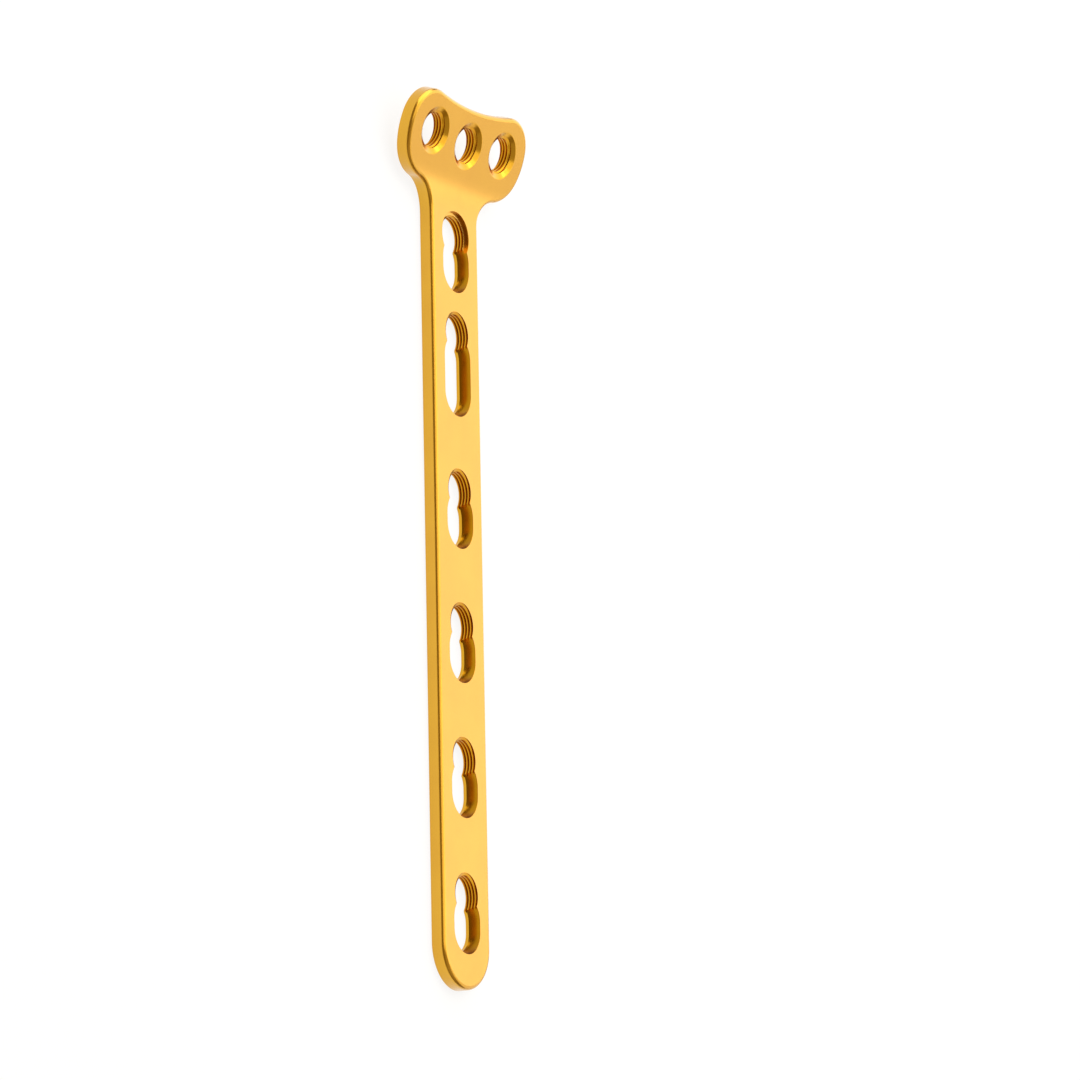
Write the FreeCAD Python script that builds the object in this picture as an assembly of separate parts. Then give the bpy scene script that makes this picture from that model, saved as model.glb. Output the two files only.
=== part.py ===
"""T-shaped bone plate for small fragments, one solid of anodised titanium, in millimetres.

The plate is a flat strip that turns up in one bend and widens into a head. Its frame has the
underside of the strip on z = 0, the face up (+Z), the head towards -X and the origin at the middle
of the base. Places on the plate are given as on the blank before it was bent: s runs along it from
the tip of the tail, y across it, and n up from its underside.
"""
import FreeCAD
import Part
import math
import os
from FreeCAD import Vector

# Plate section
shaft_width = 11.0
thickness = 1.85
face_rounding = 0.55
underside_break = 0.15

# Combination holes, a threaded half and a compression slot in one
end_margin = 11.53          # tip of the tail to the first threaded centre
hole_pitch = 16.78
plain_holes = 4             # evenly spaced holes behind the long one
long_hole_step = 19.87      # last evenly spaced hole to the long hole
neck_hole_step = 12.49      # long hole to the hole at the neck
neck_margin = 2.2           # hole at the neck to the start of the bend
slot_offset = 2.99          # threaded centre to the near centre of the slot
slot_travel = 1.14          # near centre to far centre of the slot
long_slot_travel = 4.35
seat_radius = 3.0           # ball seat of the slot, centred on the face
slot_wall_radius = 2.65     # half the width of the slot at the underside
wide_crest_radius = 2.56    # threaded half, inside its crests
wide_mouth_radius = 2.93    # threaded half at the face
neck_relief_radius = 3.14   # shallow counterbore of the hole at the neck
neck_relief_depth = 0.4
neck_relief_shift = 0.11

# Round locking holes in the head
lobe_hole_offset = 8.0      # middle line to the hole in each lobe
middle_hole_drop = 0.41     # middle hole, back from the line of the other two
head_crest_radius = 2.15
head_lead_radius = 2.37     # at the underside, where the thread starts
head_first_crest = 0.335    # height of the lowest crest
sink_radius = 2.99          # countersink at the face
sink_degrees = 60.0         # its slope from the axis

# Threads, cut as rings
thread_pitch = 0.43
thread_depth = 0.33
head_crest_land = 0.11      # flat top of the lowest and the highest crest in the round holes

# Bend and head outline
bend_degrees = 18.35
bend_radius = 19.25         # of the underside
lobe_line = 10.36           # start of the bend to the line of the lobes
head_width = 27.0
lobe_side_radius = 8.0
lobe_front_radius = 4.4
lobe_front_degrees = 9.0    # where the side arc gives way to the front corner
lobe_neck_radius = 5.5
lobe_neck_degrees = 18.0    # where the side arc gives way to the neck corner
front_dip = 4.08            # line of the lobes to the middle of the hollow front edge

# Extra reach of the cutting tools past the faces, and the distance taken as none
clear = 1.0
hair = 1e-3
wall_points = 9             # on each edge of the bent side wall

half_width = shaft_width / 2
bend_turn = math.radians(bend_degrees)
neck_hole = end_margin + (plain_holes - 1) * hole_pitch + long_hole_step + neck_hole_step
bend_start = neck_hole + neck_margin
bend_end = bend_start + bend_radius * bend_turn
lobe_centre = bend_start + lobe_line


def bent(s, y, n):
    """The point of the bent plate that (s, y, n) of the flat blank goes to."""
    turn = min(max((s - bend_start) / bend_radius, 0.0), bend_turn)
    beyond = max(s - bend_end, 0.0)
    level = bend_radius - n
    ahead = min(s, bend_start) + level * math.sin(turn) + beyond * math.cos(turn)
    up = bend_radius - level * math.cos(turn) + beyond * math.sin(turn)
    return Vector(-ahead, y, up)


def onto_head(shape):
    """A shape modelled on the flat blank past the bend, turned up with the head."""
    moved = shape.copy()
    moved.rotate(Vector(-bend_end, 0, 0), Vector(0, 1, 0), bend_degrees)
    moved.translate(bent(bend_end, 0, 0) - Vector(-bend_end, 0, 0))
    return moved


class Round:
    """An arc of the outline: its points are (s, y) = centre + radius * (sin, cos) of the angle."""

    def __init__(self, s, y, radius, first, last):
        self.s, self.y, self.radius, self.first, self.last = s, y, radius, first, last

    def at(self, angle):
        return self.s + self.radius * math.sin(angle), self.y + self.radius * math.cos(angle)

    def spread(self, first, last, count):
        step = (last - first) / (count - 1)
        return [first + step * i for i in range(count)]

    def edge(self, side=1):
        """The arc on the flat blank, or its mirror image across the middle line."""
        points = [self.at(a) for a in self.spread(self.first, self.last, 3)]
        return Part.Arc(*[Vector(-s, side * y, 0) for s, y in points]).toShape()


def right_outline():
    """The arcs of the head's outline on the +Y side, from the neck to the middle of its front."""
    side_y = head_width / 2 - lobe_side_radius
    front_turn = math.radians(lobe_front_degrees)
    neck_turn = math.radians(lobe_neck_degrees)
    lean = lobe_side_radius - lobe_front_radius
    front_s = lobe_centre + lean * math.sin(front_turn)
    front_y = side_y + lean * math.cos(front_turn)
    lean = lobe_side_radius - lobe_neck_radius
    corner_s = lobe_centre - lean * math.sin(neck_turn)
    corner_y = side_y + lean * math.cos(neck_turn)

    # The neck arc touches the shaft's side where the bend starts, and the lobe's corner
    out = corner_y - half_width
    rise = corner_s - bend_start
    neck_radius = (out ** 2 + rise ** 2 - lobe_neck_radius ** 2) / (2 * (lobe_neck_radius + out))
    touch = math.atan2(rise, corner_y - half_width - neck_radius)

    # The hollow front arc passes its middle point and touches the front corner from outside
    depth = lobe_centre + front_dip - front_s
    hollow_radius = (depth ** 2 + front_y ** 2 - lobe_front_radius ** 2) / (
        2 * (lobe_front_radius - depth))
    hollow_s = lobe_centre + front_dip + hollow_radius
    meet = math.atan2(hollow_s - front_s, -front_y)

    return [
        Round(bend_start, half_width + neck_radius, neck_radius, math.pi, touch),
        Round(corner_s, corner_y, lobe_neck_radius, touch - math.pi, -neck_turn),
        Round(lobe_centre, side_y, lobe_side_radius, -neck_turn, front_turn),
        Round(front_s, front_y, lobe_front_radius, front_turn, meet),
        Round(hollow_s, 0.0, hollow_radius, meet - math.pi, -math.pi / 2),
    ]


def line(start, end):
    return Part.LineSegment(start, end).toShape()


def face_of(edges):
    return Part.Face(Part.Wire(Part.__sortEdges__(edges)))


def shaft():
    """The straight part with its round tail, up to the start of the bend."""
    tail = Part.Arc(Vector(-half_width, -half_width, 0), Vector(0, 0, 0),
                    Vector(-half_width, half_width, 0)).toShape()
    left, right = Vector(-bend_start, -half_width, 0), Vector(-bend_start, half_width, 0)
    outline = [tail, line(Vector(-half_width, half_width, 0), right), line(right, left),
               line(left, Vector(-half_width, -half_width, 0))]
    return face_of(outline).extrude(Vector(0, 0, thickness))


def head():
    """The flat part past the end of the bend, turned up."""
    arcs = right_outline()
    edges = [arc.edge(side) for arc in arcs for side in (1, -1)]
    edges.append(line(Vector(-bend_start, -half_width, 0), Vector(-bend_start, half_width, 0)))
    blank = face_of(edges).extrude(Vector(0, 0, thickness))
    reach = lobe_centre + head_width
    past_bend = Part.makeBox(reach, 2 * head_width, thickness + 2 * clear,
                             Vector(-bend_end - reach, -head_width, -clear))
    return onto_head(blank.common(past_bend))


def wall_curve(arc, first, last, n):
    """One edge of the bent side wall: the arc at height n, with true directions at its ends."""
    points = [bent(*arc.at(a), n) for a in arc.spread(first, last, wall_points)]
    step = (last - first) * hair
    starts = bent(*arc.at(first + step), n) - bent(*arc.at(first), n)
    ends = bent(*arc.at(last), n) - bent(*arc.at(last - step), n)
    curve = Part.BSplineCurve()
    curve.interpolate(Points=points, InitialTangent=starts.normalize(), FinalTangent=ends.normalize())
    return curve.toShape()


def bend():
    """The bent part: a sector of a tube wall, cut back on both sides to the neck's outline."""
    middle = (bend_start + bend_end) / 2
    rim = [bent(s, -head_width, n) for n in (0, thickness) for s in (bend_start, middle, bend_end)]
    section = [Part.Arc(*rim[:3]).toShape(), line(rim[2], rim[5]),
               Part.Arc(*rim[3:]).toShape(), line(rim[3], rim[0])]
    body = face_of(section).extrude(Vector(0, 2 * head_width, 0))
    for arc in right_outline():
        if arc.at(arc.first)[0] >= bend_end - hair:
            break
        last = arc.last
        if arc.at(last)[0] > bend_end:
            last = math.asin((bend_end - arc.s) / arc.radius)
            if arc.first > math.pi / 2:
                last = math.pi - last
        low, high = (wall_curve(arc, arc.first, last, n) for n in (-clear, thickness + clear))
        waste = Part.makeRuledSurface(low, high).extrude(Vector(0, 2 * head_width, 0))
        body = body.cut(waste).cut(waste.mirror(Vector(0, 0, 0), Vector(0, 1, 0)))
    return body


def height(point):
    """How far a point lies above the underside, measured square to it."""
    centre = bent(bend_start, 0, bend_radius)
    across, down = centre.x - point.x, centre.z - point.z
    if across <= 0:
        return point.z
    if math.atan2(across, down) < bend_turn:
        return bend_radius - math.hypot(across, down)
    return bend_radius - across * math.sin(bend_turn) - down * math.cos(bend_turn)


def rim_edges(body, n):
    """The edges of the outline at height n, without the seams that cross the plate."""
    found = []
    for edge in body.Edges:
        middle = (edge.FirstParameter + edge.LastParameter) / 2
        level = abs(height(edge.valueAt(middle)) - n) < hair
        seam = isinstance(edge.Curve, Part.Line) and abs(edge.tangentAt(middle).y) > 1 - hair
        if level and not seam:
            found.append(edge)
    return found


def turned(profile):
    """A solid of revolution about the Z axis from (radius, height) points that start and end on it."""
    points = [Vector(r, 0, z) for r, z in profile]
    wire = Part.makePolygon(points + [points[0]])
    return Part.Face(wire).revolve(Vector(0, 0, 0), Vector(0, 0, 1), 360)


def crests_below(first, last):
    """Heights of the thread crests from the first one up to a last height."""
    count = math.floor((last - first) / thread_pitch) + 1
    return [first + i * thread_pitch for i in range(count)]


def rings(crest, crests, land=0.0):
    """Profile points of the rings: V crests and roots in turn, the end crests with a flat top."""
    points = []
    for level in crests:
        flat = land if level in (crests[0], crests[-1]) else 0.0
        points.append((crest, level - flat / 2))
        if flat > 0:
            points.append((crest, level + flat / 2))
        points.append((crest + thread_depth, level + thread_pitch / 2))
    return points


def locking_hole():
    """Cutting tool of a round hole in the head: thread rings that run out in a countersink."""
    flare = math.tan(math.radians(sink_degrees))
    root_radius = head_crest_radius + thread_depth
    last = thickness - (sink_radius - head_crest_radius) / flare
    crests = crests_below(head_first_crest, last)
    points = [(0.0, -clear), (head_lead_radius, -clear), (head_lead_radius, 0.0)]
    points += rings(head_crest_radius, crests, head_crest_land)
    root = points[-1][1]
    flank = 2 * thread_depth / thread_pitch
    meet = (root_radius + flank * root - sink_radius + flare * thickness) / (flank + flare)
    points += [(sink_radius - flare * (thickness - meet), meet),
               (sink_radius + flare * clear, thickness + clear), (0.0, thickness + clear)]
    return turned(points)


def threaded_half():
    """Cutting tool of the threaded half of a combination hole: thread rings under a straight mouth."""
    flank = 2 * thread_depth / thread_pitch
    rise = (wide_mouth_radius - wide_crest_radius) / flank
    crests = crests_below(0.0, thickness - rise)
    foot = crests[-1]
    points = [(0.0, -clear), (wide_crest_radius, -clear)] + rings(wide_crest_radius, crests[:-1])
    points += [(wide_crest_radius, foot), (wide_mouth_radius, foot + rise),
               (wide_mouth_radius, thickness + clear), (0.0, thickness + clear)]
    return turned(points)


def slot(travel):
    """Cutting tool of a compression slot: a ball seat over a straight wall, drawn out along the plate."""
    drop = math.sqrt(seat_radius ** 2 - slot_wall_radius ** 2)
    foot = max(thickness - drop, 0.0)
    ends = []
    for along in (0, travel):
        ball = Part.makeSphere(seat_radius, Vector(along, 0, thickness))
        lower = Part.makeCylinder(slot_wall_radius, thickness + clear, Vector(along, 0, -clear))
        upper = Part.makeCylinder(seat_radius, clear, Vector(along, 0, thickness))
        ends.append(ball.common(Part.makeCylinder(seat_radius, drop + clear, Vector(along, 0, foot))))
        ends += [lower, upper]
    trough = Part.makeCylinder(seat_radius, travel, Vector(0, 0, thickness), Vector(1, 0, 0))
    keep = Part.makeBox(travel, 2 * seat_radius, drop + clear, Vector(0, -seat_radius, foot))
    walls = Part.makeBox(travel, 2 * slot_wall_radius, thickness + clear,
                         Vector(0, -slot_wall_radius, -clear))
    mouth = Part.makeBox(travel, 2 * seat_radius, clear, Vector(0, -seat_radius, thickness))
    return ends[0].multiFuse(ends[1:] + [trough.common(keep), walls, mouth])


def moved_to(tool, s, y=0.0):
    placed = tool.copy()
    placed.translate(Vector(-s, y, 0))
    return placed


def shaft_tools():
    """The cutting tools of all combination holes, from the tail to the neck."""
    places = [(end_margin + i * hole_pitch, slot_travel) for i in range(plain_holes)]
    places.append((places[-1][0] + long_hole_step, long_slot_travel))
    places.append((neck_hole, slot_travel))
    tools = []
    for s, travel in places:
        tools.append(moved_to(threaded_half(), s))
        tools.append(moved_to(slot(travel), s - slot_offset))
    relief = Part.makeCylinder(neck_relief_radius, neck_relief_depth + clear,
                               Vector(0, 0, thickness - neck_relief_depth))
    tools.append(moved_to(relief, neck_hole + neck_relief_shift))
    return tools


def head_tools():
    """The cutting tools of the three round holes, square to the head."""
    places = [(lobe_centre, -lobe_hole_offset), (lobe_centre - middle_hole_drop, 0.0),
              (lobe_centre, lobe_hole_offset)]
    return [onto_head(moved_to(locking_hole(), s, y)) for s, y in places]


def bone_plate():
    body = shaft().fuse(bend()).fuse(head()).removeSplitter()
    body = body.makeFillet(face_rounding, rim_edges(body, thickness))
    body = body.makeChamfer(underside_break, rim_edges(body, 0.0))
    for tool in shaft_tools() + head_tools():
        body = body.cut(tool)
    return body


def centred(body):
    """The plate with the middle of its base at the origin."""
    box = body.optimalBoundingBox(False, False)
    placed = body.copy()
    placed.translate(Vector(-(box.XMin + box.XMax) / 2, 0, 0))
    return placed


os.makedirs("parts", exist_ok=True)
plate = centred(bone_plate())
plate.exportStep("parts/bone_plate.step")
print("volume", round(plate.Volume, 2), "mm3, solids", len(plate.Solids), "valid", plate.isValid())
print("box", plate.optimalBoundingBox(False, False))
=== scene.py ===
"""T-shaped bone plate in gold anodised titanium, dressed for pictures in its CAD model's frame.

Places on the plate are given as on the flat blank before it was bent: s runs along it from the
tip of the tail, y across it and n up from its underside, all in metres. One function, Bend.place,
takes them to the frame. A turn round a hole starts at the side of the tail and goes towards +y.
"""
import math

import bpy
import numpy as np
from bpy.props import FloatProperty, FloatVectorProperty, IntProperty, PointerProperty
from mathutils import Matrix, Vector
from mathutils.geometry import delaunay_2d_cdt


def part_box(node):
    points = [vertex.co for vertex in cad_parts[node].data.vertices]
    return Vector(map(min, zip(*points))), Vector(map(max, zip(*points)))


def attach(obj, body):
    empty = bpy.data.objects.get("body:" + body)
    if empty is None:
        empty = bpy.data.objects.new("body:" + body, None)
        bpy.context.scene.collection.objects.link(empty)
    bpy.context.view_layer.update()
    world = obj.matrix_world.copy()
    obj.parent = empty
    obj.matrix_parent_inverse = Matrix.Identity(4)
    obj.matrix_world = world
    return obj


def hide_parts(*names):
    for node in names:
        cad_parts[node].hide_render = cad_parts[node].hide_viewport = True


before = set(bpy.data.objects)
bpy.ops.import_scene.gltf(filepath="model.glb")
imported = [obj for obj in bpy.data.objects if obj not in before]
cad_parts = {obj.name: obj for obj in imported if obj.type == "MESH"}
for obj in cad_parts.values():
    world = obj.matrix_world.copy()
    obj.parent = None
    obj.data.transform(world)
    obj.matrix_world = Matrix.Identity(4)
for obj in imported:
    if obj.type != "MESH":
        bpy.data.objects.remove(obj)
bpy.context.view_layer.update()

bl_info = {
    "name": "Bone plate",
    "version": (1, 0, 0),
    "blender": (4, 5, 0),
    "location": "3D View > Sidebar > Bone plate",
    "description": "Builds a T-shaped locking bone plate, its anodised finish and its stage",
    "category": "Add Mesh",
}

NODE = "bone_plate"
MM = 0.001
COLUMN_STEP = 0.055         # from one column of a slot's wall to the next, in radians
EDGE_CLEAR = 0.02           # how far the points of a slot's edges stay from its cusps, in radians
WALL_CLEAR = 0.03           # the same for the points inside its wall
NUDGE = 0.01                # how far a corner moves into its face before its normal is read
SMALL = 1e-9                # step of a numeric slope, in metres and radians
SAME_PLACE = 1e-9           # corners that agree to this are one vertex
FLOOR_REACH = 3.0           # middle of the floor to each side
FLOOR_EDGE = 0.2            # height of its raised edge, which hides the horizon in low views


def length(name, default_mm, description):
    return FloatProperty(name=name, description=description, default=default_mm * MM, min=0.0,
                         precision=5, unit="LENGTH")


def angle(name, default_degrees, description):
    return FloatProperty(name=name, description=description,
                         default=math.radians(default_degrees), subtype="ANGLE")


def share(name, default, description):
    return FloatProperty(name=name, description=description, default=default, min=0.0, max=1.0)


def colour(name, default, description):
    return FloatVectorProperty(name=name, description=description, default=default, size=3,
                               min=0.0, max=1.0, subtype="COLOR")


class BlankSizes(bpy.types.PropertyGroup):
    """Section, bend and outline of the plate."""
    shaft_width: length("Shaft width", 11.0, "Width of the straight part")
    thickness: length("Thickness", 1.85, "Thickness of the plate")
    face_rounding: length("Face rounding", 0.55, "Rounding of the outline at the face")
    underside_break: length("Underside break", 0.15, "Rounding of the outline at the underside")
    bend_degrees: angle("Bend", 18.35, "How far the head turns up")
    bend_radius: length("Bend radius", 19.25, "Radius of the bend at the underside")
    neck_margin: length("Neck margin", 2.2, "Hole at the neck to the start of the bend")
    lobe_line: length("Lobe line", 10.36, "Start of the bend to the line of the lobes")
    head_width: length("Head width", 27.0, "Width of the head over its lobes")
    lobe_side_radius: length("Lobe side radius", 8.0, "Radius of a lobe's outer side")
    lobe_front_radius: length("Lobe front radius", 4.4, "Radius of a lobe's front corner")
    lobe_front_degrees: angle("Lobe front angle", 9.0, "Where the side gives way to the front")
    lobe_neck_radius: length("Lobe neck radius", 5.5, "Radius of a lobe's corner at the neck")
    lobe_neck_degrees: angle("Lobe neck angle", 18.0, "Where the side gives way to the neck")
    front_dip: length("Front dip", 4.08, "Line of the lobes to the middle of the hollow front")


class HoleSizes(bpy.types.PropertyGroup):
    """Places and forms of the nine holes."""
    end_margin: length("End margin", 11.53, "Tip of the tail to the first threaded centre")
    hole_pitch: length("Hole pitch", 16.78, "Distance of the evenly spaced holes")
    plain_holes: IntProperty(name="Plain holes", default=4, min=1,
                             description="Number of evenly spaced holes")
    long_hole_step: length("Long hole step", 19.87, "Last plain hole to the long hole")
    neck_hole_step: length("Neck hole step", 12.49, "Long hole to the hole at the neck")
    slot_offset: length("Slot offset", 2.99, "Threaded centre to the near centre of the slot")
    slot_travel: length("Slot travel", 1.14, "Near centre to far centre of the slot")
    long_slot_travel: length("Long slot travel", 4.35, "The same in the long hole")
    seat_radius: length("Seat radius", 3.0, "Ball seat of a slot, centred on the face")
    slot_wall_radius: length("Slot wall radius", 2.65, "Half the width of a slot at the underside")
    wide_crest_radius: length("Wide crest radius", 2.56, "Threaded half, inside its crests")
    wide_start: angle("Wide thread start", 286.0, "Turn where its crest leaves the underside")
    neck_relief_radius: length("Neck relief radius", 3.14, "Counterbore of the hole at the neck")
    neck_relief_depth: length("Neck relief depth", 0.4, "Depth of that counterbore")
    neck_relief_shift: length("Neck relief shift", 0.11, "Its shift towards the head")
    lobe_hole_offset: length("Lobe hole offset", 8.0, "Middle line to the hole in each lobe")
    middle_hole_drop: length("Middle hole drop", 0.41, "Middle hole, back from the other two")
    head_crest_radius: length("Head crest radius", 2.15, "Head holes, inside their crests")
    head_start: angle("Head thread start", 165.0, "Turn where their crest leaves the underside")
    sink_radius: length("Sink radius", 2.99, "Countersink of the head holes at the face")
    sink_degrees: angle("Sink angle", 60.0, "Slope of the countersink from its axis")
    thread_pitch: length("Thread pitch", 0.43, "Climb of the thread in one turn")
    thread_depth: length("Thread depth", 0.33, "Crest to root of the thread")
    crest_land: length("Crest land", 0.13, "Width of the flat on each crest")
    root_land: length("Root land", 0.03, "Width of the flat in each root")
    rim_rounding: length("Rim rounding", 0.04, "Rounding of every hole's rim")


class PlateFinish(bpy.types.PropertyGroup):
    """Colours and surface of the anodised titanium."""
    gold: colour("Gold", (0.745, 0.392, 0.012), "Colour of the oxide on the blasted faces")
    deep_gold: colour("Deep gold", (0.715, 0.362, 0.01), "The same where the oxide is thicker")
    thread_gold: colour("Thread gold", (0.74, 0.37, 0.012), "Colour of the oxide on the threads")
    thread_brown: colour("Thread brown", (0.6, 0.28, 0.01), "The same where the oxide is thicker")
    # The seat colours are darker than the faces' gold: painted shade of the ball seats and
    # counterbores, the hollows inside the holes. Between the two the tone varies at random with the
    # oxide.
    seat_gold_painted_shade: colour("Seat gold", (0.52, 0.25, 0.006), "Colour of the oxide on the ball seats")
    seat_brown_painted_shade: colour("Seat brown", (0.4, 0.17, 0.005), "The same where the oxide is thicker")
    satin: share("Satin roughness", 0.24, "Roughness of the blasted faces")
    cut_satin: share("Cut roughness", 0.2, "Roughness of the walls of the holes")
    clear_oxide: share("Clear oxide", 1.0, "Strength of the faces' pale sheen")
    sink_oxide: share("Oxide in the sinks", 0.5, "The same on countersinks and plain walls")
    cut_oxide: share("Oxide in the threads", 0.15, "The same on the threads")
    grain_size: length("Grain size", 0.09, "Size of the dimples left by blasting")
    grain_depth: length("Grain depth", 0.0012, "Depth of those dimples")


class StageLook(bpy.types.PropertyGroup):
    """Levels of the studio's lights, where 1 is white in a mirror, and the camera."""
    back_level: FloatProperty(name="Back panel", default=1.3, min=0.0,
                              description="Brightness of the panel behind the plate")
    corner_level: FloatProperty(name="Corner panel", default=0.84, min=0.0,
                                description="Brightness of the panel behind and to the tail")
    tail_level: FloatProperty(name="Tail panel", default=0.18, min=0.0,
                              description="Brightness of the panel beyond the tail")
    hot_level: FloatProperty(name="Hot panel", default=1.0, min=0.0,
                             description="Brightness of the small panel above and behind")
    top_level: FloatProperty(name="Top panel", default=1.1, min=0.0,
                             description="Brightness of the panel above the plate")
    key_level: FloatProperty(name="Key panel", default=2.2, min=0.0,
                             description="Brightness of the panel beyond the head")
    room_level: FloatProperty(name="Room", default=0.27, min=0.0,
                              description="Brightness of the room all round")
    room_colour: colour("Room colour", (1.0, 0.72, 0.25), "Colour of the room all round")
    floor_glow: FloatProperty(name="Floor glow", default=0.86, min=0.0,
                              description="Light added to the floor for the camera and mirrors")
    floor_paint: colour("Floor", (0.16, 0.16, 0.16), "Colour of the floor")
    focal_length: FloatProperty(name="Focal length", default=231.52, min=1.0,
                                description="Focal length on a 36 mm sensor, in mm")


class Bend:
    """The plate's bend, and the frame's place of every place on the flat blank."""

    def __init__(self, blank, holes):
        steps = (holes.plain_holes - 1) * holes.hole_pitch
        self.long_hole = holes.end_margin + steps + holes.long_hole_step
        self.neck_hole = self.long_hole + holes.neck_hole_step
        self.start = self.neck_hole + blank.neck_margin
        self.radius = blank.bend_radius
        self.turn = blank.bend_degrees
        self.end = self.start + self.radius * self.turn
        self.lobe_centre = self.start + blank.lobe_line
        self.tail_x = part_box(NODE)[1].x

    def rolled(self, s, n):
        """How far the blank has turned at s, and the stretch of a length along it at height n."""
        turn = np.clip((s - self.start) / self.radius, 0.0, self.turn)
        stretch = np.where((s > self.start) & (s < self.end), 1 - n / self.radius, 1.0)
        return turn, stretch

    def place(self, points):
        """Frame places of (s, y, n) rows.

        Up to the start of the bend the blank lies flat. From there it rolls up on a circle about
        a line at the bend's radius above the underside, and past the bend it runs straight on.
        """
        s, y, n = points.T
        turn, _ = self.rolled(s, n)
        beyond = np.maximum(s - self.end, 0.0)
        level = self.radius - n
        ahead = np.minimum(s, self.start) + level * np.sin(turn) + beyond * np.cos(turn)
        up = self.radius - level * np.cos(turn) + beyond * np.sin(turn)
        return np.stack([self.tail_x - ahead, y, up], axis=1)

    def direct(self, points, normals):
        """Frame directions of normals at (s, y, n) rows.

        A normal turns with the blank, and its part along s is divided by the stretch there.
        """
        turn, stretch = self.rolled(points[:, 0], points[:, 2])
        along, across, up = normals[:, 0] / stretch, normals[:, 1], normals[:, 2]
        x = up * np.sin(turn) - along * np.cos(turn)
        z = up * np.cos(turn) + along * np.sin(turn)
        return unit(np.stack([x, across, z], axis=1))


def unit(rows):
    return rows / np.maximum(np.linalg.norm(rows, axis=1, keepdims=True), 1e-12)


class Skin:
    """Patches of the plate's surface, gathered as triangles with a normal at each corner."""

    def __init__(self):
        self.corners, self.normals, self.kinds = [], [], []

    def add(self, points, triangles, normals, kind):
        """Points are (s, y, n) rows, and normals have one row for each corner of each triangle."""
        self.corners.append(points[triangles].reshape(-1, 3))
        self.normals.append(normals.reshape(-1, 3))
        self.kinds.append(np.full(len(triangles), kind))

    def mesh(self, name, bend):
        """One mesh of all patches, bent, with shared corners merged and flat slivers left out.

        Corners that agree to SAME_PLACE become one vertex. A triangle whose own normal points
        against the normals at its corners is turned round, so all faces point outwards.
        """
        corners = np.concatenate(self.corners)
        normals = bend.direct(corners, np.concatenate(self.normals))
        kinds = np.concatenate(self.kinds)
        keys = np.round(corners / SAME_PLACE).astype(np.int64)
        _, first, index = np.unique(keys, axis=0, return_index=True, return_inverse=True)
        vertices = bend.place(corners[first])
        triangles = index.reshape(-1, 3)
        normals = normals.reshape(-1, 3, 3)

        a, b, c = triangles.T
        whole = (a != b) & (b != c) & (c != a)
        triangles, normals, kinds = triangles[whole], normals[whole], kinds[whole]
        a, b, c = vertices[triangles.T]
        against = np.einsum("ij,ij->i", np.cross(b - a, c - a), normals.sum(axis=1)) < 0
        triangles[against] = triangles[against][:, ::-1]
        normals[against] = normals[against][:, ::-1]

        mesh = bpy.data.meshes.new(name)
        mesh.vertices.add(len(vertices))
        mesh.vertices.foreach_set("co", vertices.ravel())
        mesh.loops.add(triangles.size)
        mesh.loops.foreach_set("vertex_index", triangles.ravel().astype(np.int32))
        mesh.polygons.add(len(triangles))
        mesh.polygons.foreach_set("loop_start", np.arange(0, triangles.size, 3, dtype=np.int32))
        mesh.polygons.foreach_set("material_index", kinds.astype(np.int32))
        mesh.update(calc_edges=True)
        mesh.polygons.foreach_set("use_smooth", np.ones(len(triangles), dtype=bool))
        mesh.normals_split_custom_set(normals.reshape(-1, 3))
        return mesh


def grid_triangles(rows, columns):
    """Two triangles for each cell of a grid whose points are numbered row by row."""
    first = (np.arange(rows - 1)[:, None] * columns + np.arange(columns - 1)).ravel()
    near = np.stack([first, first + 1, first + columns + 1], axis=1)
    far = np.stack([first, first + columns + 1, first + columns], axis=1)
    return np.concatenate([near, far])


def inside(points, starts, ends):
    """Which points have an odd number of the loops' edges on one side of them, so lie inside."""
    x, y = points[:, :1], points[:, 1:]
    crossed = (starts[:, 1] > y) != (ends[:, 1] > y)
    rise = ends[:, 1] - starts[:, 1]
    rise = np.where(rise == 0, 1.0, rise)
    at = starts[:, 0] + (y - starts[:, 1]) * (ends[:, 0] - starts[:, 0]) / rise
    return (crossed & (x < at)).sum(axis=1) % 2 == 1


def filled(loops, extra):
    """Triangles that fill the region between closed loops of plane points, through extra points.

    A constrained Delaunay triangulation in millimetres keeps every loop edge, and the triangles
    whose middle lies inside an odd number of loops stay. They number the points of the loops in
    order, and then the extra points.
    """
    counts = np.array([len(loop) for loop in loops])
    offsets = np.concatenate([[0], np.cumsum(counts)])
    edges = np.concatenate([np.stack([np.arange(n), np.roll(np.arange(n), -1)], axis=1) + at
                            for n, at in zip(counts, offsets)])
    points = np.concatenate(list(loops) + [extra])
    result = delaunay_2d_cdt([Vector(p) for p in points / MM], edges.tolist(), [], 0, 1e-6)
    source = np.array([found[0] if found else -1 for found in result[3]])
    triangles = source[np.array(result[2])]
    triangles = triangles[(triangles >= 0).all(axis=1)]
    middles = points[triangles].mean(axis=1)
    keep = inside(middles, points[edges[:, 0]], points[edges[:, 1]])
    return triangles[keep]


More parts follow.
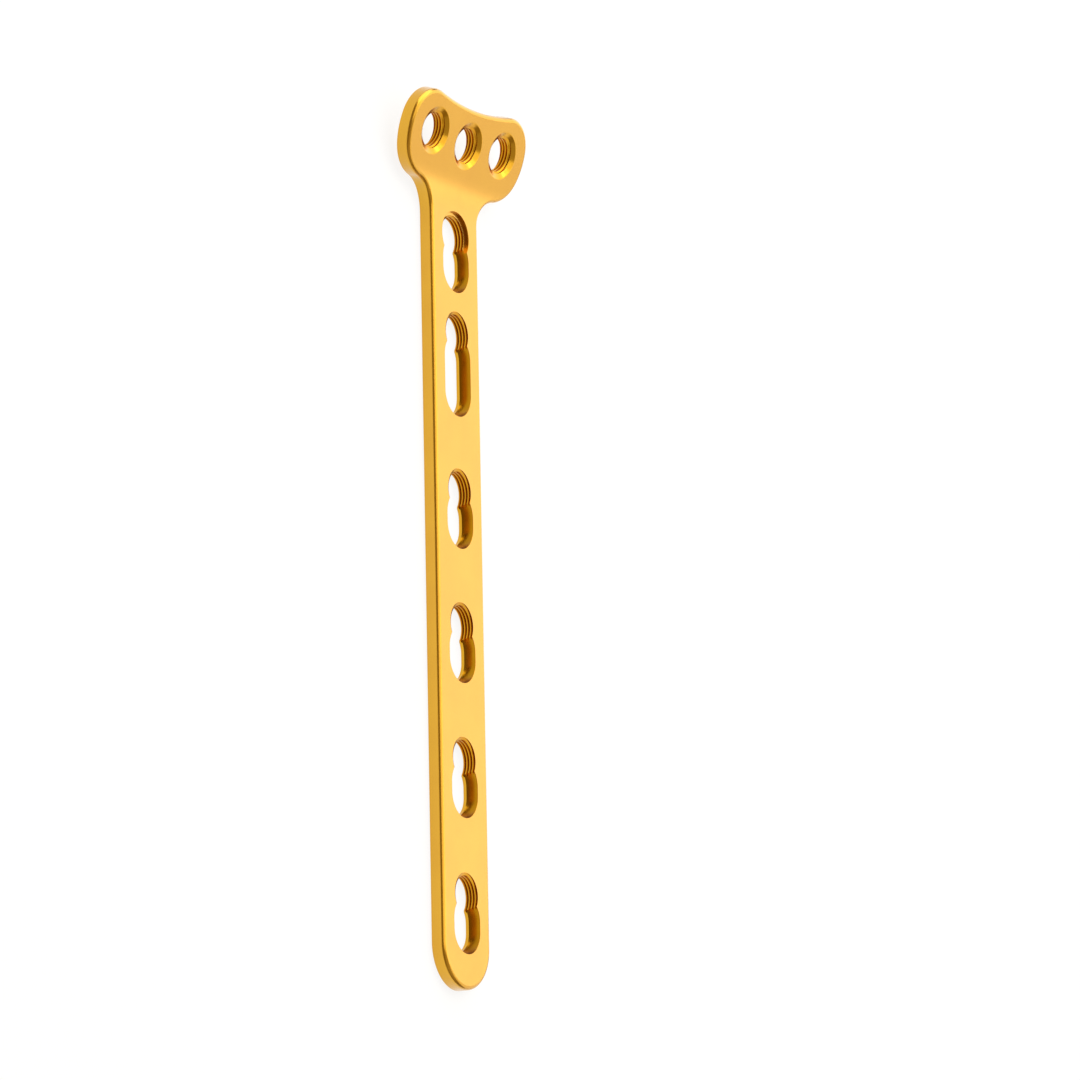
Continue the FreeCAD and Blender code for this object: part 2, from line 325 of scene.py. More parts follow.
class Hole:
    """A hole's axis, thread and rims. Its walls are functions of the turn and the height n."""

    def __init__(self, s, y, sizes, thickness, crest, start):
        self.s, self.y, self.sizes, self.thickness = s, y, sizes, thickness
        self.crest, self.start = crest, start

    def rim(self, n):
        """How much wider the hole is at height n: a quarter round next to either face."""
        radius = self.sizes.rim_rounding
        depth = np.minimum(n, self.thickness - n)
        over = np.clip(radius - depth, 0.0, radius * (1 - 1e-9))
        return radius - np.sqrt(radius ** 2 - over ** 2)

    def thread(self, turn, n):
        """Radius of a right-hand V thread.

        The distance along the axis from the nearest crest, less the crest's flat, is a share of
        the flank, and the radius is the crest's plus that share of the thread's depth.
        """
        sizes = self.sizes
        phase = n / sizes.thread_pitch - (turn - self.start) / math.tau
        from_crest = np.abs(phase - np.round(phase)) * sizes.thread_pitch
        flank = (sizes.thread_pitch - sizes.crest_land - sizes.root_land) / 2
        up = np.clip((from_crest - sizes.crest_land / 2) / flank, 0.0, 1.0)
        return self.crest + sizes.thread_depth * up

    def heights(self, top, level_rows):
        """Rows of the wall as (height at turn 0, climb for a radian, lowest, highest).

        Level rows follow the rounding of the lower rim. Then rows climb with the thread, a few to
        each pitch at its crests, flanks and roots, held between the rim and top, and level rows
        follow above it.
        """
        sizes = self.sizes
        pitch, rim = sizes.thread_pitch, sizes.rim_rounding
        crest, root = sizes.crest_land / pitch / 2, 0.5 - sizes.root_land / pitch / 2
        middle = (crest + root) / 2
        phases = np.array([-crest, crest, middle, root, 1 - root, 1 - middle])
        count = math.ceil(top / pitch) + 2
        phases = phases - self.start / math.tau
        climbing = (np.arange(-1, count)[:, None] + phases).ravel() * pitch
        low = rim * (1 - np.cos(np.linspace(0, math.pi / 2, 5)))[:-1]
        base = np.concatenate([low, climbing, level_rows])
        climb = np.concatenate([low * 0, climbing * 0 + pitch / math.tau, level_rows * 0])
        lowest = np.concatenate([low, climbing * 0 + rim, level_rows])
        highest = np.concatenate([low, climbing * 0 + top, level_rows])
        return [column[:, None] for column in (base, climb, lowest, highest)]

    def upper_rim_rows(self, first=None):
        """Level rows from a height, or the rim's foot, to the face, the last ones round the rim."""
        rim = self.sizes.rim_rounding
        foot = self.thickness - rim
        below = [foot] if first is None else np.linspace(first, foot, 4)
        round_rows = np.sin(np.linspace(0, math.pi / 2, 5))[1:]
        return np.concatenate([below, foot + rim * round_rows])

    def set_out(self, turn, radius, n):
        """(s, y, n) rows of wall points: the radius is laid off from the axis at the turn."""
        return np.stack([self.s - radius * np.cos(turn), self.y + radius * np.sin(turn), n],
                        axis=-1).reshape(-1, 3)

    def wall(self, skin, radius, turns, n, kind):
        """Adds the wall whose radius, and maybe its kind, is a function of turn and n, on a grid.

        The normal is the slope of radius(turn, n) minus the distance from the axis: one inwards,
        the slope over the turn divided by the radius sideways, and the slope over n upwards.
        """
        rows, columns = turns.shape
        triangles = grid_triangles(rows, columns)
        turn, high = turns.ravel()[triangles], n.ravel()[triangles]
        turn = turn + NUDGE * (turn.mean(axis=1, keepdims=True) - turn)
        high = high + NUDGE * (high.mean(axis=1, keepdims=True) - high)
        reach = radius(turn, high)
        side = (radius(turn + SMALL, high) - radius(turn - SMALL, high)) / (2 * SMALL) / reach
        rise = (radius(turn, high + SMALL) - radius(turn, high - SMALL)) / (2 * SMALL)
        along = np.cos(turn) + side * np.sin(turn)
        across = side * np.cos(turn) - np.sin(turn)
        normals = unit(np.stack([along, across, rise], axis=-1).reshape(-1, 3))
        points = self.set_out(turns, radius(turns, n), n)
        if callable(kind):
            kind = kind(turn.mean(axis=1), high.mean(axis=1))
        skin.add(points, triangles, normals, kind)
        return points.reshape(rows, columns, 3)


class LockingHole(Hole):
    """A round hole of the head: a thread that runs out in a countersink."""

    def cone(self, n):
        """Radius of the countersink: its radius at the face, less the depth times its slope."""
        return self.sizes.sink_radius - (self.thickness - n) * math.tan(self.sizes.sink_degrees)

    def radius(self, turn, n):
        """The larger of the thread and the countersink."""
        return np.maximum(self.thread(turn, n), self.cone(n)) + self.rim(n)

    def kind(self, turn, n):
        return np.where(self.cone(n) > self.thread(turn, n), SINK, CUT)

    def build(self, skin, columns=144):
        """Adds the wall, and returns its rims at the face and at the underside."""
        sizes = self.sizes
        root = sizes.head_crest_radius + sizes.thread_depth
        top = self.thickness - (sizes.sink_radius - root) / math.tan(sizes.sink_degrees)
        rows = self.heights(top, self.upper_rim_rows(top))
        turns = np.tile(np.linspace(0, math.tau, columns + 1), (len(rows[0]), 1))
        base, climb, lowest, highest = rows
        n = np.clip(base + climb * turns, lowest, highest)
        points = self.wall(skin, self.radius, turns, n, self.kind)
        return points[-1, :-1], points[0, :-1]


class CombinationHole(Hole):
    """A hole of the shaft: a threaded half that opens into a compression slot."""

    def __init__(self, s, sizes, thickness, travel, relieved=False):
        super().__init__(s, 0.0, sizes, thickness, sizes.wide_crest_radius, sizes.wide_start)
        self.travel, self.relieved = travel, relieved
        self.ledge = thickness - sizes.neck_relief_depth if relieved else thickness

    def radius(self, turn, n):
        """The thread, which runs out through the face, or ends below it at the counterbore."""
        open_rim = 0.0 if self.relieved else self.rim(n)
        lower_rim = self.rim(np.minimum(n, self.thickness / 2))
        return self.thread(turn, n) + np.maximum(open_rim, lower_rim)

    def relief(self, turn, n):
        """Distance from the threaded axis to the counterbore's circle, which is shifted."""
        radius = self.sizes.neck_relief_radius + self.rim(np.maximum(n, self.thickness / 2))
        shift = self.sizes.neck_relief_shift
        return np.sqrt(radius ** 2 - (shift * np.sin(turn)) ** 2) - shift * np.cos(turn)

    def width(self, n):
        """Half the slot's width: the ball seat's circle at that depth, or its straight wall."""
        depth = np.clip(self.thickness - n, 0.0, self.sizes.seat_radius)
        seat = np.sqrt(self.sizes.seat_radius ** 2 - depth ** 2)
        return np.maximum(seat, self.sizes.slot_wall_radius) + self.rim(n)

    def cusps(self, radius, rows):
        """Turns at which each row of the threaded half meets the slot's near end, on both sides.

        In the triangle of the two centres and the cusp all sides are known, so the law of cosines
        gives the turn. The height depends on the turn, so the two are worked out in a few rounds.
        """
        base, climb, lowest, highest = rows
        offset = self.sizes.slot_offset
        found = []
        for sign, turn in ((1, base * 0 + 1.0), (-1, base * 0 + math.tau - 1.0)):
            for _ in range(8):
                n = np.clip(base + climb * turn, lowest, highest)
                reach = radius(turn, n)
                cosine = (reach ** 2 + offset ** 2 - self.width(n) ** 2) / (2 * reach * offset)
                turn = np.arccos(cosine) if sign > 0 else math.tau - np.arccos(cosine)
            found.append(turn)
        return found

    def arc(self, radius, rows, columns):
        """Turns and heights of the threaded half's rows, spread evenly between their cusps."""
        first, last = self.cusps(radius, rows)
        turns = first + (last - first) * np.linspace(0, 1, columns)
        base, climb, lowest, highest = rows
        return turns, np.clip(base + climb * turns, lowest, highest)

    def build(self, skin, columns=97):
        """Adds the threaded half, the ledge and the slot, and returns both rims."""
        upper_rows = np.array([self.ledge]) if self.relieved else self.upper_rim_rows()
        rows = self.heights(upper_rows[0], upper_rows)
        turns, n = self.arc(self.radius, rows, columns)
        lower = self.wall(skin, self.radius, turns, n, CUT)
        rings = [lower]
        if self.relieved:
            levels = self.upper_rim_rows(self.ledge)[:, None]
            rows = [levels, levels * 0, levels, levels]
            turns, n = self.arc(self.relief, rows, columns)
            # The counterbore's wall takes the seat material, whose darker gold is painted shade.
            upper = self.wall(skin, self.relief, turns, n, SEAT)
            step = np.stack([lower[-1], upper[0]]).reshape(-1, 3)
            triangles = grid_triangles(2, columns)
            skin.add(step, triangles, np.tile([0.0, 0.0, 1.0], (triangles.size, 1)), FACE)
            rings.append(upper)
        cusp_a = np.concatenate([ring[:, 0] for ring in rings])
        cusp_b = np.concatenate([ring[:, -1] for ring in rings])
        top, bottom = self.slot(skin, cusp_a, cusp_b)
        face_rim = np.concatenate([rings[-1][-1], top])
        under_rim = np.concatenate([lower[0], bottom])
        return face_rim, under_rim

    def round_slot(self, u, n):
        """(s, y, n) rows on the slot's wall, with the directions out of the slot.

        u runs once round the slot from the side of the thread: a quarter circle, a straight side,
        a half circle at the far end, the other side and a quarter circle back. It counts radians
        on the circles, and slot half widths on the sides.
        """
        straight = self.travel / self.sizes.slot_wall_radius
        quarter = math.pi / 2
        there = np.clip(u - quarter, 0.0, straight)
        back = np.clip(u - 3 * quarter - straight, 0.0, straight)
        turn = (np.clip(u, 0.0, quarter) + np.clip(u - quarter - straight, 0.0, math.pi)
                + np.clip(u - 3 * quarter - 2 * straight, 0.0, quarter))
        width = self.width(n)
        centre = self.sizes.slot_offset + (there - back) * self.sizes.slot_wall_radius
        x = centre - width * np.cos(turn)
        outward = np.stack([np.cos(turn), np.sin(turn)], axis=-1)
        points = np.stack([self.s - x, width * np.sin(turn), n], axis=-1)
        return points, outward

    def slot(self, skin, cusp_a, cusp_b):
        """Adds the slot's wall between the two lines of cusps, and returns its edges.

        The wall is triangulated on a plane with u across and n up, where the cusps' own heights
        and the rows of the seat, its foot and both rims are points.
        """
        sizes = self.sizes
        offset, wall = sizes.slot_offset, sizes.slot_wall_radius
        whole = math.tau + 2 * self.travel / wall
        cusp_a, cusp_b = distinct(cusp_a), distinct(cusp_b)
        u_a, u_b = (np.arctan2(np.abs(cusp[:, 1]), offset - (self.s - cusp[:, 0]))
                    for cusp in (cusp_a, cusp_b))
        u_b = whole - u_b
        foot = self.thickness - math.sqrt(sizes.seat_radius ** 2 - wall ** 2)
        rim = sizes.rim_rounding
        quarter = 1 - np.cos(np.linspace(0, math.pi / 2, 5))[1:]
        heights = np.concatenate([rim * quarter, np.linspace(rim, foot, 4)[1:],
                                  np.linspace(foot, self.thickness - rim, 12)[1:],
                                  self.thickness - rim * quarter[:-1][::-1]])
        columns = np.linspace(0, whole, int(whole / COLUMN_STEP))
        top_u, bottom_u = (
            columns[(columns > u_a[row] + EDGE_CLEAR) & (columns < u_b[row] - EDGE_CLEAR)]
            for row in (-1, 0))
        top = np.stack([top_u, top_u * 0 + self.thickness], axis=1)
        bottom = np.stack([bottom_u, bottom_u * 0], axis=1)
        loop = np.concatenate([np.stack([u_a, cusp_a[:, 2]], axis=1), top,
                               np.stack([u_b, cusp_b[:, 2]], axis=1)[::-1], bottom[::-1]])
        u, n = (a.ravel() for a in np.meshgrid(columns, heights))
        held = (u > np.interp(n, cusp_a[:, 2], u_a) + WALL_CLEAR) & (
            u < np.interp(n, cusp_b[:, 2], u_b) - WALL_CLEAR)
        inner = np.stack([u[held], n[held]], axis=1)
        plane = np.array([wall, 1.0])
        triangles = filled([loop * plane], inner * plane)

        flat = np.concatenate([loop, inner])
        points, _ = self.round_slot(flat[:, 0], flat[:, 1])
        count_a, count_b = len(cusp_a), len(cusp_b)
        points[:count_a] = cusp_a
        at = count_a + len(top)
        points[at:at + count_b] = cusp_b[::-1]
        u, n = flat[:, 0][triangles], flat[:, 1][triangles]
        u = u + NUDGE * (u.mean(axis=1, keepdims=True) - u)
        n = n + NUDGE * (n.mean(axis=1, keepdims=True) - n)
        _, outward = self.round_slot(u, n)
        rise = (self.width(n + SMALL) - self.width(n - SMALL)) / (2 * SMALL)
        normals = unit(np.concatenate([-outward, rise[..., None]], axis=-1).reshape(-1, 3))
        # Above the foot the wall is the ball seat, and takes the seat material, whose darker gold
        # is painted shade.
        skin.add(points, triangles, normals, np.where(n.mean(axis=1) > foot, SEAT, SINK))
        top_edge = points[count_a:at][::-1]
        bottom_edge = points[at + count_b:at + count_b + len(bottom)]
        return top_edge, bottom_edge


def distinct(line):
    """A line of points without those that repeat the one before."""
    step = np.linalg.norm(np.diff(line, axis=0), axis=1)
    return line[np.concatenate([[True], step > SAME_PLACE])]


def outline(blank, bend, step=0.3 * MM):
    """Points of the plate's outline on the blank, and their outward directions, as (s, y) rows.

    The +y side is a chain of arcs, each a centre plus its radius times (sine, cosine) of an
    angle. Neighbours touch, so their centres and the touching point are in line. The other side
    is its mirror image.
    """
    half = blank.shaft_width / 2
    side_y = blank.head_width / 2 - blank.lobe_side_radius
    front, neck = blank.lobe_front_degrees, blank.lobe_neck_degrees
    lean = blank.lobe_side_radius - blank.lobe_front_radius
    front_s = bend.lobe_centre + lean * math.sin(front)
    front_y = side_y + lean * math.cos(front)
    lean = blank.lobe_side_radius - blank.lobe_neck_radius
    corner_s = bend.lobe_centre - lean * math.sin(neck)
    corner_y = side_y + lean * math.cos(neck)
    out, rise = corner_y - half, corner_s - bend.start
    hollow_neck = (out ** 2 + rise ** 2 - blank.lobe_neck_radius ** 2) / (
        2 * (blank.lobe_neck_radius + out))
    touch = math.atan2(rise, corner_y - half - hollow_neck)
    depth = bend.lobe_centre + blank.front_dip - front_s
    hollow = (depth ** 2 + front_y ** 2 - blank.lobe_front_radius ** 2) / (
        2 * (blank.lobe_front_radius - depth))
    hollow_s = bend.lobe_centre + blank.front_dip + hollow
    meet = math.atan2(hollow_s - front_s, -front_y)
    arcs = [
        (half, 0.0, half, -math.pi / 2, 0.0, 1),
        (bend.start, half + hollow_neck, hollow_neck, math.pi, touch, -1),
        (corner_s, corner_y, blank.lobe_neck_radius, touch - math.pi, -neck, 1),
        (bend.lobe_centre, side_y, blank.lobe_side_radius, -neck, front, 1),
        (front_s, front_y, blank.lobe_front_radius, front, meet, 1),
        (hollow_s, 0.0, hollow, meet - math.pi, -math.pi / 2, -1),
    ]
    points, outward = [], []
    for s, y, radius, first, last, sign in arcs:
        count = max(8, math.ceil(radius * abs(last - first) / step))
        turn = np.linspace(first, last, count + 1)[:-1, None]
        spoke = np.concatenate([np.sin(turn), np.cos(turn)], axis=1)
        points.append(np.array([s, y]) + radius * spoke)
        outward.append(sign * spoke)
        if len(points) == 1:
            along = np.linspace(half, bend.start, 61)[:-1, None]
            points.append(np.concatenate([along, along * 0 + half], axis=1))
            outward.append(np.tile([0.0, 1.0], (len(along), 1)))
    points, outward = np.concatenate(points), np.concatenate(outward)
    tip = np.array([[bend.lobe_centre + blank.front_dip, 0.0]])
    mirror = np.array([1.0, -1.0])
    points = np.concatenate([points, tip, points[:0:-1] * mirror])
    outward = np.concatenate([outward, [[1.0, 0.0]], outward[:0:-1] * mirror])
    return points, outward


def edge_band(skin, blank, points, outward):
    """Adds the plate's side: a profile carried along the outline.

    The profile is a quarter round at the face, the plain wall and a small quarter round at the
    underside. Each of its points is a distance in from the outline and a height, and its normal
    is the sine of the round's angle outwards and the cosine upwards.
    """
    top = np.linspace(0, math.pi / 2, 10)
    low = np.linspace(math.pi / 2, math.pi, 6)
    angles = np.concatenate([top, low])
    radii = np.concatenate([top * 0 + blank.face_rounding, low * 0 + blank.underside_break])
    centres = np.concatenate([top * 0 + blank.thickness - blank.face_rounding,
                              low * 0 + blank.underside_break])
    inset = radii * (1 - np.sin(angles))
    height = centres + radii * np.cos(angles)
    height[-1] = 0.0
    closed = np.concatenate([np.arange(len(points)), [0]])
    points, outward = points[closed], outward[closed]
    plane = points - inset[:, None, None] * outward
    n = np.broadcast_to(height[:, None, None], plane.shape[:2] + (1,))
    rows = np.concatenate([plane, n], axis=2)
    sideways = np.sin(angles)[:, None, None] * outward
    up = np.broadcast_to(np.cos(angles)[:, None, None], plane.shape[:2] + (1,))
    normals = np.concatenate([sideways, up], axis=2).reshape(-1, 3)
    triangles = grid_triangles(len(angles), len(points))
    skin.add(rows.reshape(-1, 3), triangles, normals[triangles], FACE)
    return rows[0, :-1], rows[-1, :-1]


def bend_points(blank, bend, border):
    """Places on the blank in the bend, in rows across it, that let the face follow its curve."""
    across = np.arange(-blank.head_width / 2, blank.head_width / 2, 0.8 * MM)
    s, y = np.meshgrid(np.linspace(bend.start, bend.end, 13), across)
    grid = np.stack([s.ravel(), y.ravel()], axis=1)
    near = np.abs(grid[:, None] - border[None, :, :2])
    clear = np.hypot(near[..., 0], near[..., 1]).min(axis=1) > 0.3 * MM
    return grid[clear]


def flat_side(skin, blank, bend, border, rims, height, up):
    """Adds the face or the underside: the region inside the border and outside the rims."""
    loops = [border[:, :2]] + [rim[:, :2] for rim in rims]
    bounds = np.concatenate([border] + rims)
    extra = bend_points(blank, bend, bounds)
    starts = np.concatenate(loops)
    ends = np.concatenate([np.roll(loop, -1, axis=0) for loop in loops])
    extra = extra[inside(extra, starts, ends)]
    triangles = filled(loops, extra)
    inner = np.concatenate([extra, np.full((len(extra), 1), height)], axis=1)
    points = np.concatenate([bounds, inner])
    skin.add(points, triangles, np.tile([0.0, 0.0, up], (triangles.size, 1)), FACE)


# SEAT surfaces, the ball seats and the counterbore, take the darker seat gold, which is painted
# shade.
FACE, CUT, SEAT, SINK = 0, 1, 2, 3


def plate_skin(blank, holes, bend):
    """All surfaces of the plate: its side, the walls of its nine holes, face and underside."""
    skin = Skin()
    points, outward = outline(blank, bend)
    face_border, under_border = edge_band(skin, blank, points, outward)
    t = blank.thickness
    made = [CombinationHole(holes.end_margin + i * holes.hole_pitch, holes, t, holes.slot_travel)
            for i in range(holes.plain_holes)]
    made.append(CombinationHole(bend.long_hole, holes, t, holes.long_slot_travel))
    made.append(CombinationHole(bend.neck_hole, holes, t, holes.slot_travel, relieved=True))
    for y, drop in ((-holes.lobe_hole_offset, 0.0), (0.0, holes.middle_hole_drop),
                    (holes.lobe_hole_offset, 0.0)):
        made.append(LockingHole(bend.lobe_centre - drop, y, holes, t, holes.head_crest_radius,
                                holes.head_start))
    rims = [hole.build(skin) for hole in made]
    flat_side(skin, blank, bend, face_border, [rim[0] for rim in rims], t, 1.0)
    flat_side(skin, blank, bend, under_border, [rim[1] for rim in rims], 0.0, -1.0)
    return skin


class Nodes:
    """A node tree with short ways to add nodes and links."""

    def __init__(self, tree):
        self.tree = tree
        tree.nodes.clear()

    def add(self, kind, place, settings=None, **values):
        node = self.tree.nodes.new("ShaderNode" + kind)
        node.location = place
        for name, value in (settings or {}).items():
            setattr(node, name, value)
        for name, value in values.items():
            node.inputs[name.replace("_", " ")].default_value = value
        return node

    def link(self, source, target):
        self.tree.links.new(source, target)


def new_group(name, inputs, outputs):
    """An empty shader node group with named sockets."""
    group = bpy.data.node_groups.new(name, "ShaderNodeTree")
    for label, kind in inputs:
        group.interface.new_socket(name=label, in_out="INPUT", socket_type=kind)
    for label, kind in outputs:
        group.interface.new_socket(name=label, in_out="OUTPUT", socket_type=kind)
    nodes = Nodes(group)
    entry = group.nodes.new("NodeGroupInput")
    entry.location = (-800, 0)
    leave = group.nodes.new("NodeGroupOutput")
    leave.location = (800, 0)
    return nodes, entry.outputs, leave.inputs


VECTOR, FLOAT, COLOUR = "NodeSocketVector", "NodeSocketFloat", "NodeSocketColor"


def blasted_grain():
    """Dimples left by blasting: fine noise over coarser noise, as a height from 0 to 1."""
    nodes, given, out = new_group(
        "blasted_grain", [("Place", VECTOR), ("Scale", FLOAT)], [("Height", FLOAT)])
    fine = nodes.add("TexNoise", (-300, 150), Detail=2.0, Roughness=0.6)
    coarse_scale = nodes.add("Math", (-550, -150), {"operation": "MULTIPLY"})
    coarse_scale.inputs[1].default_value = 0.3
    coarse = nodes.add("TexNoise", (-300, -150), Detail=1.0, Roughness=0.5)
    mix = nodes.add("Mix", (200, 0), {"data_type": "FLOAT"}, Factor=0.35)
    nodes.link(given["Place"], fine.inputs["Vector"])
    nodes.link(given["Scale"], fine.inputs["Scale"])
    nodes.link(given["Place"], coarse.inputs["Vector"])
    nodes.link(given["Scale"], coarse_scale.inputs[0])
    nodes.link(coarse_scale.outputs[0], coarse.inputs["Scale"])
    nodes.link(fine.outputs["Fac"], mix.inputs[2])
    nodes.link(coarse.outputs["Fac"], mix.inputs[3])
    nodes.link(mix.outputs[0], out["Height"])
    return nodes.tree


def oxide_tint():
    """Cloudy thickness of the oxide: a colour between two, and a roughness that follows it."""
    nodes, given, out = new_group(
        "oxide_tint",
        [("Place", VECTOR), ("Thin", COLOUR), ("Thick", COLOUR), ("Roughness", FLOAT),
         ("Spread", FLOAT)],
        [("Color", COLOUR), ("Roughness", FLOAT)])
    cloud = nodes.add("TexNoise", (-500, 200), Scale=170.0, Detail=4.0, Roughness=0.55)
    ramp = nodes.add("MapRange", (-250, 200), From_Min=0.3, From_Max=0.7)
    tint = nodes.add("Mix", (100, 250), {"data_type": "RGBA"})
    shift = nodes.add("MapRange", (-250, -100), From_Min=0.25, From_Max=0.75, To_Min=-1.0,
                      To_Max=1.0)
    scaled = nodes.add("Math", (50, -100), {"operation": "MULTIPLY_ADD"})
    nodes.link(given["Place"], cloud.inputs["Vector"])
    nodes.link(cloud.outputs["Fac"], ramp.inputs["Value"])
    nodes.link(cloud.outputs["Fac"], shift.inputs["Value"])
    nodes.link(ramp.outputs["Result"], tint.inputs["Factor"])
    nodes.link(given["Thin"], tint.inputs[6])
    nodes.link(given["Thick"], tint.inputs[7])
    nodes.link(shift.outputs["Result"], scaled.inputs[0])
    nodes.link(given["Spread"], scaled.inputs[1])
    nodes.link(given["Roughness"], scaled.inputs[2])
    nodes.link(tint.outputs[2], out["Color"])
    nodes.link(scaled.outputs[0], out["Roughness"])
    return nodes.tree


def titanium(name, finish, groups, thin, thick, roughness, coat, grain_share):
    """Anodised titanium: metal under a clear oxide layer, cloudy in colour, dimpled by blasting."""
    material = bpy.data.materials.new(name)
    material.use_nodes = True
    nodes = Nodes(material.node_tree)
    grain_group, tint_group = groups
    place = nodes.add("TexCoord", (-900, 0))
    grain = nodes.add("Group", (-500, -250), {"node_tree": grain_group},
                      Scale=1.0 / finish.grain_size)
    tint = nodes.add("Group", (-500, 200), {"node_tree": tint_group}, Thin=(*thin, 1.0),
                     Thick=(*thick, 1.0), Roughness=roughness, Spread=0.03)
    bump = nodes.add("Bump", (-200, -250), Strength=1.0,
                     Distance=finish.grain_depth * grain_share)
    metal = nodes.add("BsdfPrincipled", (100, 100), Metallic=1.0, Coat_Weight=coat,
                      Coat_Roughness=roughness, Coat_IOR=1.45)
    output = nodes.add("OutputMaterial", (450, 100))
    for group in (grain, tint):
        nodes.link(place.outputs["Object"], group.inputs["Place"])
    nodes.link(grain.outputs["Height"], bump.inputs["Height"])
    nodes.link(bump.outputs["Normal"], metal.inputs["Normal"])
    nodes.link(tint.outputs["Color"], metal.inputs["Base Color"])
    nodes.link(tint.outputs["Roughness"], metal.inputs["Roughness"])
    nodes.link(metal.outputs["BSDF"], output.inputs["Surface"])
    return material


def floor_paint(look):
    """White floor: it takes light and shadow, and glows a little for the camera and in mirrors."""
    material = bpy.data.materials.new("studio_floor")
    material.use_nodes = True
    nodes = Nodes(material.node_tree)
    path = nodes.add("LightPath", (-700, 200))
    seen = nodes.add("Math", (-450, 250), {"operation": "MAXIMUM"})
    seen_through = nodes.add("Math", (-250, 250), {"operation": "MAXIMUM"})
    paint = nodes.add("BsdfDiffuse", (-250, -50), Color=(*look.floor_paint, 1.0))
    glow = nodes.add("Emission", (-50, 150), Color=(1.0, 1.0, 1.0, 1.0))
    level = nodes.add("Math", (-250, 80), {"operation": "MULTIPLY"})
    level.inputs[1].default_value = look.floor_glow
    both = nodes.add("AddShader", (200, 0))
    output = nodes.add("OutputMaterial", (400, 0))
    nodes.link(path.outputs["Is Camera Ray"], seen.inputs[0])
    nodes.link(path.outputs["Is Glossy Ray"], seen.inputs[1])
    nodes.link(seen.outputs[0], seen_through.inputs[0])
    nodes.link(path.outputs["Is Transmission Ray"], seen_through.inputs[1])
    nodes.link(seen_through.outputs[0], level.inputs[0])
    nodes.link(level.outputs[0], glow.inputs["Strength"])
    nodes.link(paint.outputs[0], both.inputs[0])
    nodes.link(glow.outputs[0], both.inputs[1])
    nodes.link(both.outputs[0], output.inputs["Surface"])
    return material


def panel(name, centre, aim, width, height, level):
    """A rectangular lamp that faces a point, with the power that gives its surface that level."""
    lamp = bpy.data.lights.new(name, "AREA")
    lamp.shape = "RECTANGLE"
    lamp.size, lamp.size_y = width, height
    lamp.energy = level * math.pi * width * height
    made = bpy.data.objects.new(name, lamp)
    made.matrix_world = looking(Vector(centre), Vector(aim))
    bpy.context.scene.collection.objects.link(made)
    return made


def looking(place, aim):
    """The matrix of something at a place that looks along its own -Z at aim."""
    turn = (aim - place).to_track_quat("-Z", "Y").to_matrix().to_4x4()
    return Matrix.Translation(place) @ turn


class BONEPLATE_OT_plate(bpy.types.Operator):
    """Build the plate's surface and its anodised finish in place of the CAD solid"""
    bl_idname = "bone_plate.make_plate"
    bl_label = "Bone plate"
    bl_options = {"REGISTER", "UNDO"}

    def execute(self, context):
        blank, holes = context.scene.plate_blank, context.scene.plate_holes
        finish = context.scene.plate_finish
        bend = Bend(blank, holes)
        mesh = plate_skin(blank, holes, bend).mesh("gold_plate", bend)
        groups = blasted_grain(), oxide_tint()
        satin, cut_satin = finish.satin, finish.cut_satin
        for made in (
                ("blasted_gold", finish.gold, finish.deep_gold, satin, finish.clear_oxide, 1.0),
                ("thread_gold", finish.thread_gold, finish.thread_brown, cut_satin,
                 finish.cut_oxide, 0.4),
                # The seat material's darker gold is painted shade of the hollow seats and
                # counterbores.
                ("seat_gold_painted_shade", finish.seat_gold_painted_shade, finish.seat_brown_painted_shade, satin, 0.0, 1.0),
                ("sink_gold", finish.gold, finish.deep_gold, cut_satin, finish.sink_oxide, 0.4)):
            name, thin, thick, roughness, coat, grain = made
            mesh.materials.append(
                titanium(name, finish, groups, thin, thick, roughness, coat, grain))
        plate = bpy.data.objects.new("gold_plate", mesh)
        context.scene.collection.objects.link(plate)
        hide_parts(NODE)
        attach(plate, "root")
        return {"FINISHED"}


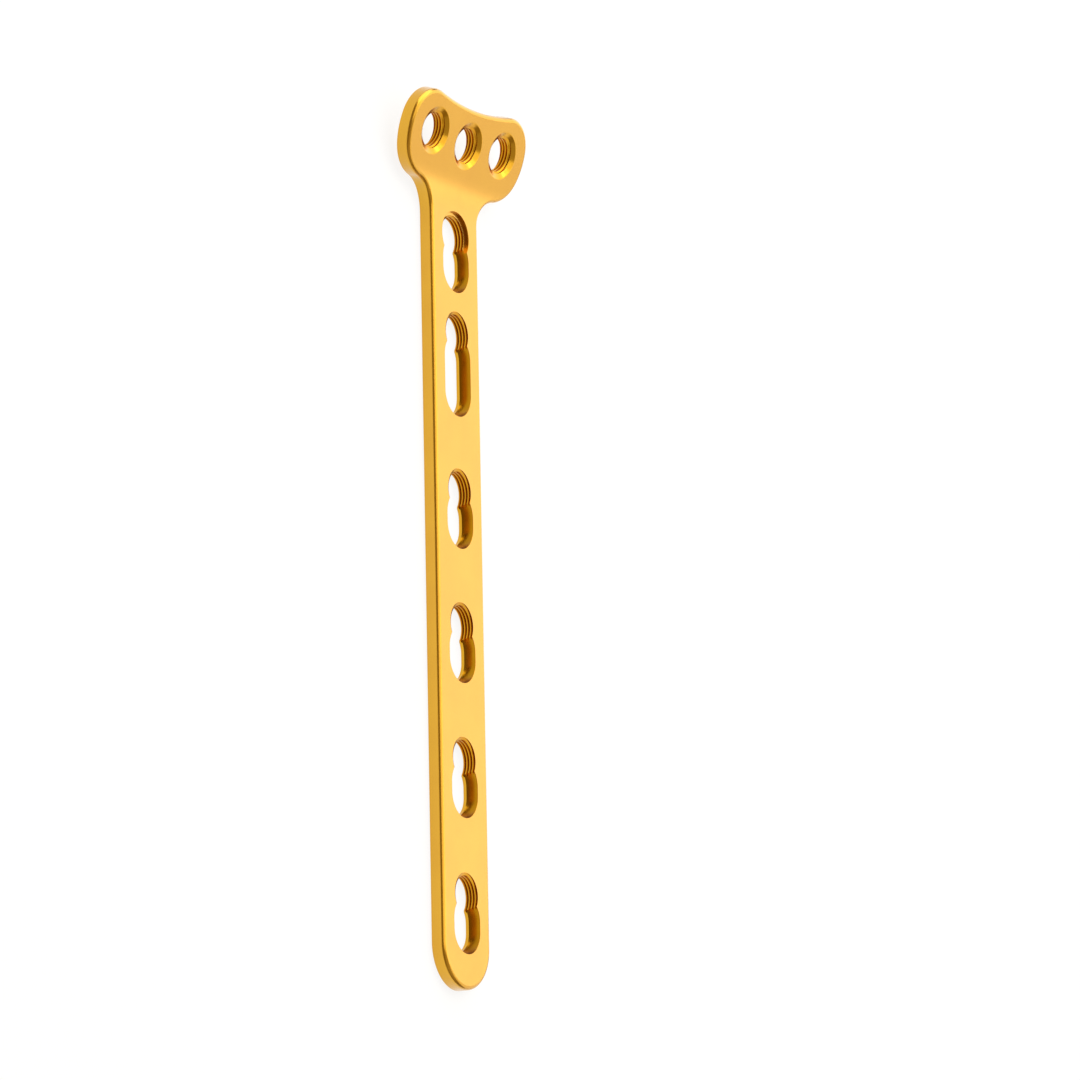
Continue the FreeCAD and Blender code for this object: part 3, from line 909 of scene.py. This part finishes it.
class BONEPLATE_OT_stage(bpy.types.Operator):
    """Set the plate on a white floor under soft panels, with the camera of the picture"""
    bl_idname = "bone_plate.set_stage"
    bl_label = "Stage"
    bl_options = {"REGISTER", "UNDO"}

    def execute(self, context):
        scene, look = context.scene, context.scene.plate_stage
        corners = FLOOR_REACH * np.array([[-1, -1, 0], [1, -1, 0], [1, 1, 0], [-1, 1, 0]])
        raised = corners + [0, 0, FLOOR_EDGE]
        sides = [(i, (i + 1) % 4, (i + 1) % 4 + 4, i + 4) for i in range(4)]
        ground = bpy.data.meshes.new("studio_floor")
        ground.from_pydata(np.concatenate([corners, raised]).tolist(), [], [(0, 1, 2, 3)] + sides)
        ground.materials.append(floor_paint(look))
        floor = bpy.data.objects.new("studio_floor", ground)
        scene.collection.objects.link(floor)

        panel("back_panel", (-0.464, 0.974, 0.53), (0, 0, 0), 0.85, 1.12, look.back_level)
        panel("corner_panel", (0.342, 0.914, 0.69), (0, 0, 0), 0.89, 1.35, look.corner_level)
        panel("tail_panel", (0.8, -0.1, 1.0), (0, 0, 0), 1.2, 1.4, look.tail_level)
        panel("top_panel", (-0.155, 0.02, 1.3), (-0.155, 0.02, 0), 0.67, 2.0, look.top_level)
        panel("hot_panel", (-0.39, 0.48, 1.2), (0, 0, 0), 0.45, 0.6, look.hot_level)
        panel("key_panel", (-0.948, -0.034, 0.736), (0, 0, 0), 1.5, 1.38, look.key_level)

        world = bpy.data.worlds.new("studio_room")
        world.use_nodes = True
        room = world.node_tree.nodes["Background"]
        room.inputs["Color"].default_value = (*look.room_colour, 1.0)
        room.inputs["Strength"].default_value = look.room_level
        scene.world = world

        camera = bpy.data.cameras.new("camera")
        camera.sensor_width = 36.0
        camera.lens = look.focal_length
        camera.clip_end = 20.0
        eye = bpy.data.objects.new("camera", camera)
        place = Vector((0.160480, -0.720853, 0.435961))
        aim = Vector((-0.003963, 0.022611, -0.000085))
        eye.matrix_world = looking(place, aim) @ Matrix.Rotation(math.radians(82.617), 4, "Z")
        scene.collection.objects.link(eye)
        scene.camera = eye
        scene.view_settings.view_transform = "Standard"
        return {"FINISHED"}


class BONEPLATE_PT_panel(bpy.types.Panel):
    """Sizes, finish and stage of the bone plate"""
    bl_idname = "BONEPLATE_PT_panel"
    bl_label = "Bone plate"
    bl_space_type = "VIEW_3D"
    bl_region_type = "UI"
    bl_category = "Bone plate"

    def draw(self, context):
        layout, scene = self.layout, context.scene
        for kind in (BONEPLATE_OT_plate, BONEPLATE_OT_stage):
            layout.operator(kind.bl_idname)
        for title, group in (("Blank", scene.plate_blank), ("Holes", scene.plate_holes),
                             ("Finish", scene.plate_finish), ("Stage", scene.plate_stage)):
            box = layout.box()
            box.label(text=title)
            for name in group.__annotations__:
                box.prop(group, name)


GROUPS = {"plate_blank": BlankSizes, "plate_holes": HoleSizes, "plate_finish": PlateFinish,
          "plate_stage": StageLook}
CLASSES = (BONEPLATE_OT_plate, BONEPLATE_OT_stage, BONEPLATE_PT_panel)


def register():
    for name, kind in GROUPS.items():
        bpy.utils.register_class(kind)
        setattr(bpy.types.Scene, name, PointerProperty(type=kind))
    for kind in CLASSES:
        bpy.utils.register_class(kind)


def unregister():
    for kind in reversed(CLASSES):
        bpy.utils.unregister_class(kind)
    for name, kind in GROUPS.items():
        delattr(bpy.types.Scene, name)
        bpy.utils.unregister_class(kind)


def main():
    register()
    bpy.ops.bone_plate.make_plate()
    bpy.ops.bone_plate.set_stage()


if __name__ == "__main__":
    main()
